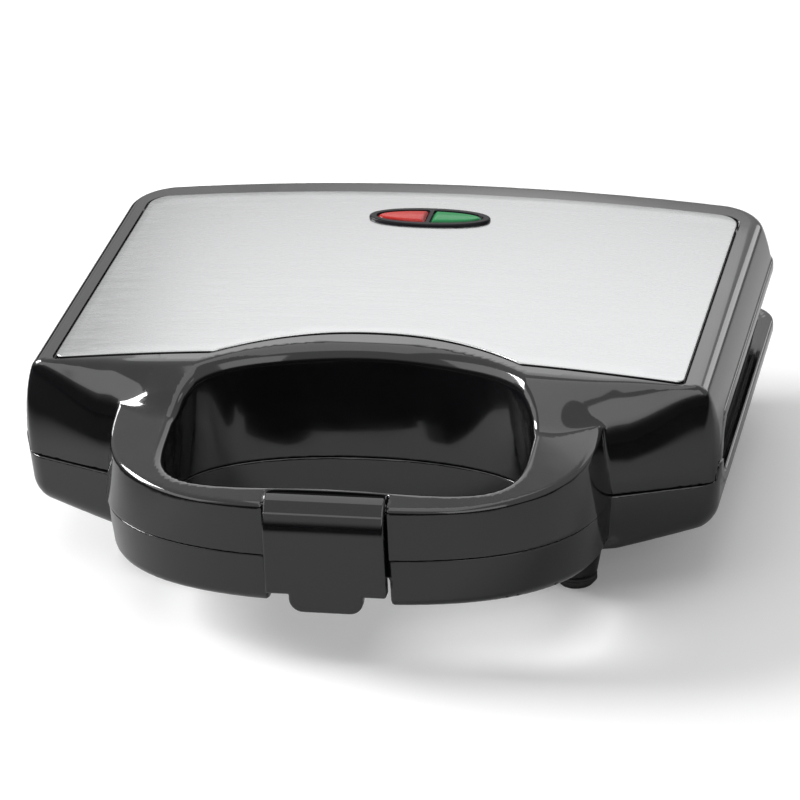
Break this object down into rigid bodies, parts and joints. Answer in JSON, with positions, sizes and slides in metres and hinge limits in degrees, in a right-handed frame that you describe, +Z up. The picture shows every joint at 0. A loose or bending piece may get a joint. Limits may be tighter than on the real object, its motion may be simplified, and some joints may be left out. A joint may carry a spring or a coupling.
{
  "type": "sandwich toaster",
  "caption": "Closed sandwich toaster with a steel-topped hinged lid, a loop handle with a finger opening, a front latch, lamps and patterned baking plates inside.",
  "frame": {"origin": "bottom centre of the closed toaster's box, on the surface that its pads stand on", "axes": "+X to the right seen from the front, -Y to the front where the handle is, +Z up"},
  "size_m": [0.239, 0.239, 0.0806],
  "materials": {
    "black_gloss": "polished black plastic",
    "bezel_gloss": "polished black plastic",
    "nonstick": "black non-stick coating on die-cast aluminium",
    "heater_steel": "dull steel tube",
    "reflector_sheet": "bright aluminised sheet",
    "screw_steel": "plated steel",
    "thermostat_body": "satin metal can",
    "terminal_plastic": "off-white heat-proof plastic",
    "inlet_rubber": "black rubber bush",
    "pin_steel": "ground steel pin",
    "brushed_inlay": "stainless steel brushed from side to side",
    "red_lens": "translucent red plastic",
    "green_lens": "translucent green plastic",
    "lamp_glass": "clear glass",
    "spring_steel": "spring wire",
    "pad_rubber": "black rubber"
  },
  "bodies": {
    "base": {"lower_housing": "black_gloss", "lower_plate": "nonstick", "lower_heater": "heater_steel", "lower_reflector": "reflector_sheet", "lower_plate_screws": "screw_steel", "thermostat": "thermostat_body", "terminal_block": "terminal_plastic", "cord_inlet": "inlet_rubber", "pad_front_left": "pad_rubber", "pad_front_right": "pad_rubber", "pad_rear_left": "pad_rubber", "pad_rear_right": "pad_rubber", "hinge_pin_left": "pin_steel", "hinge_pin_right": "pin_steel"},
    "lid": {"upper_housing": "black_gloss", "top_inlay": "brushed_inlay", "lamp_bezel": "bezel_gloss", "red_lens": "red_lens", "green_lens": "green_lens", "lamp_holder": "terminal_plastic", "indicator_lamps": "lamp_glass", "upper_plate": "nonstick", "upper_heater": "heater_steel", "upper_reflector": "reflector_sheet", "upper_plate_screws": "screw_steel", "thermal_fuse": "terminal_plastic", "latch_pin": "pin_steel", "latch_spring": "spring_steel"},
    "latch": {"latch_clip": "black_gloss"}
  },
  "joints": [
    {"name": "lid_hinge", "type": "hinge", "parent": "base", "child": "lid", "pos_m": [0, 0.114, 0.046], "axis": [-1, 0, 0], "range_deg": [0, 105]},
    {"name": "latch_pivot", "type": "hinge", "parent": "lid", "child": "latch", "pos_m": [0, -0.1105, 0.0535], "axis": [-1, 0, 0], "range_deg": [0, 20], "stiffness_Nm_per_rad": 0.03, "springref_deg": -5.73}
  ]
}
